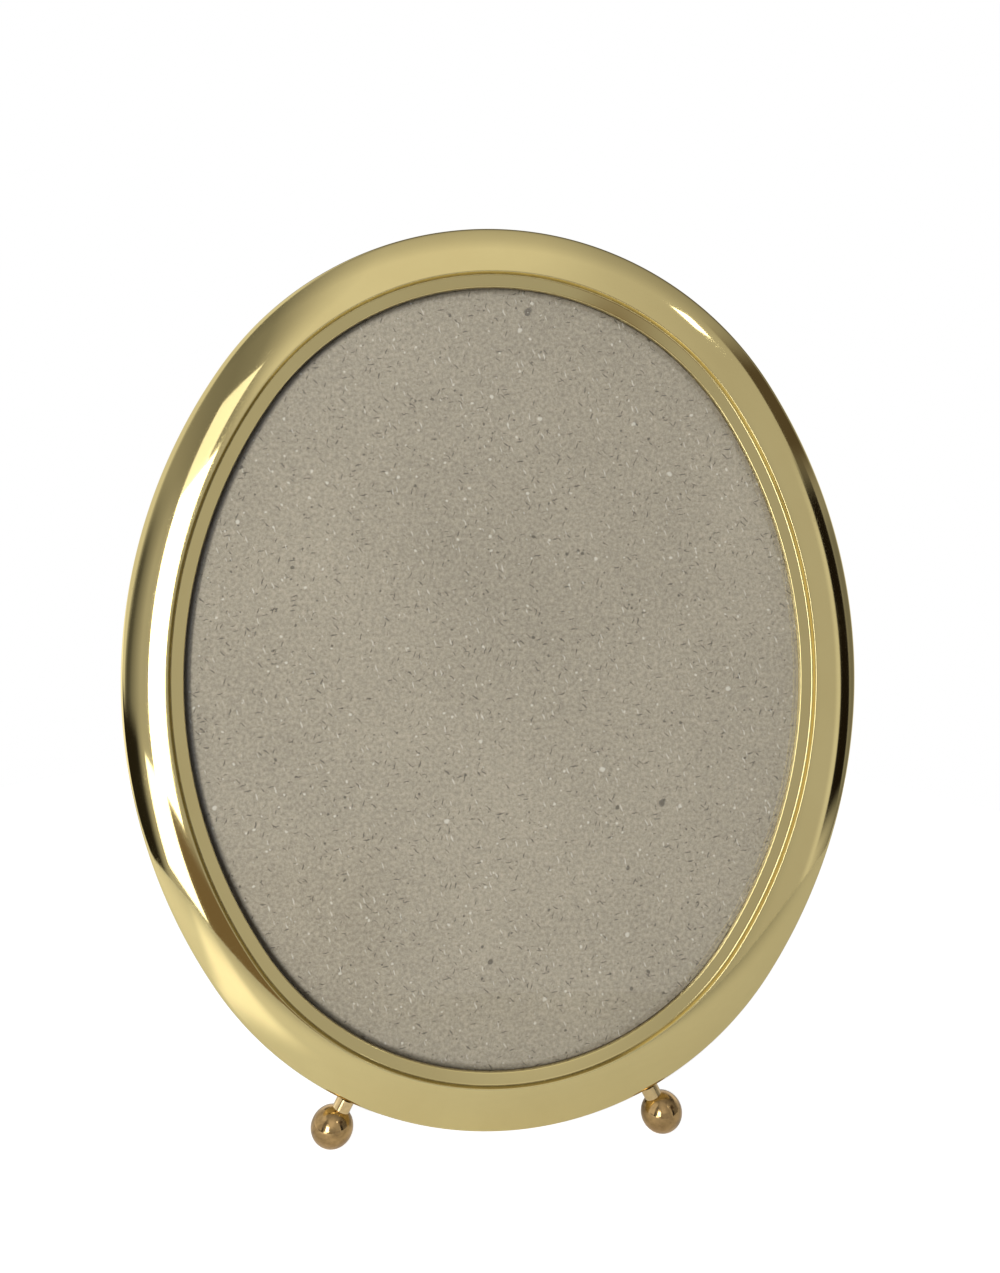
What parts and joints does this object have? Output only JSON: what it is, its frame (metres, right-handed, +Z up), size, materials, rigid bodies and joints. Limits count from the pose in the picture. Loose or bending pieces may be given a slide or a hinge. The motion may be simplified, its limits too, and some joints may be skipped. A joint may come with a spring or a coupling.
{
  "type": "oval picture frame",
  "caption": "Oval brass picture frame with a cushioned rim, ball feet, glass, a removable flocked back held by turn buttons, and a folding easel strut.",
  "frame": {"origin": "on the table, below the middle of the part's bounding box", "axes": "+Z up, +X to the viewer's right, the picture faces -Y and leans back by 12 degrees"},
  "size_m": [0.228, 0.098, 0.2767],
  "materials": {
    "rim_brass": "polished, lightly scratched",
    "foot_brass": "polished, darker and redder with age",
    "stem_brass": "polished",
    "button_brass": "stamped, brushed",
    "hinge_brass": "stamped, plated",
    "hinge_steel": "drawn wire",
    "glass": "clear, plain",
    "grey_card": "grey chipboard with flecks",
    "black_flock": "flocked board"
  },
  "bodies": {
    "frame": {"rim": "rim_brass", "glass": "glass", "insert_card": "grey_card", "back_board": "black_flock", "turn_button_screws": "button_brass", "hinge_leaf_back": "hinge_brass", "hinge_pin": "hinge_steel", "back_rivets": "hinge_brass", "ball_left": "foot_brass", "ball_right": "foot_brass", "stem_left": "stem_brass", "stem_right": "stem_brass"},
    "strut": {"strut": "black_flock", "hinge_leaf_strut": "hinge_brass", "strut_rivets": "hinge_brass"},
    "turn_button_side_right": {"turn_button_side_right": "button_brass"},
    "turn_button_upper_right": {"turn_button_upper_right": "button_brass"},
    "turn_button_upper_left": {"turn_button_upper_left": "button_brass"},
    "turn_button_side_left": {"turn_button_side_left": "button_brass"},
    "turn_button_lower_left": {"turn_button_lower_left": "button_brass"},
    "turn_button_lower_right": {"turn_button_lower_right": "button_brass"}
  },
  "joints": [
    {"name": "strut_fold", "type": "hinge", "parent": "frame", "child": "strut", "pos_m": [0, 0.0025, 0.18245], "axis": [1, 0, 0], "range_deg": [-26, 0]},
    {"name": "turn_button_side_right_turn", "type": "hinge", "parent": "frame", "child": "turn_button_side_right", "pos_m": [0.108, -0.00891, 0.13887], "axis": [0, -0.9781, 0.2079], "continuous": true},
    {"name": "turn_button_upper_right_turn", "type": "hinge", "parent": "frame", "child": "turn_button_upper_right", "pos_m": [0.06878, 0.01289, 0.24139], "axis": [0, -0.9781, 0.2079], "continuous": true},
    {"name": "turn_button_upper_left_turn", "type": "hinge", "parent": "frame", "child": "turn_button_upper_left", "pos_m": [-0.06878, 0.01289, 0.24139], "axis": [0, -0.9781, 0.2079], "continuous": true},
    {"name": "turn_button_side_left_turn", "type": "hinge", "parent": "frame", "child": "turn_button_side_left", "pos_m": [-0.108, -0.00891, 0.13887], "axis": [0, -0.9781, 0.2079], "continuous": true},
    {"name": "turn_button_lower_left_turn", "type": "hinge", "parent": "frame", "child": "turn_button_lower_left", "pos_m": [-0.06878, -0.0307, 0.03635], "axis": [0, -0.9781, 0.2079], "continuous": true},
    {"name": "turn_button_lower_right_turn", "type": "hinge", "parent": "frame", "child": "turn_button_lower_right", "pos_m": [0.06878, -0.0307, 0.03635], "axis": [0, -0.9781, 0.2079], "continuous": true}
  ]
}
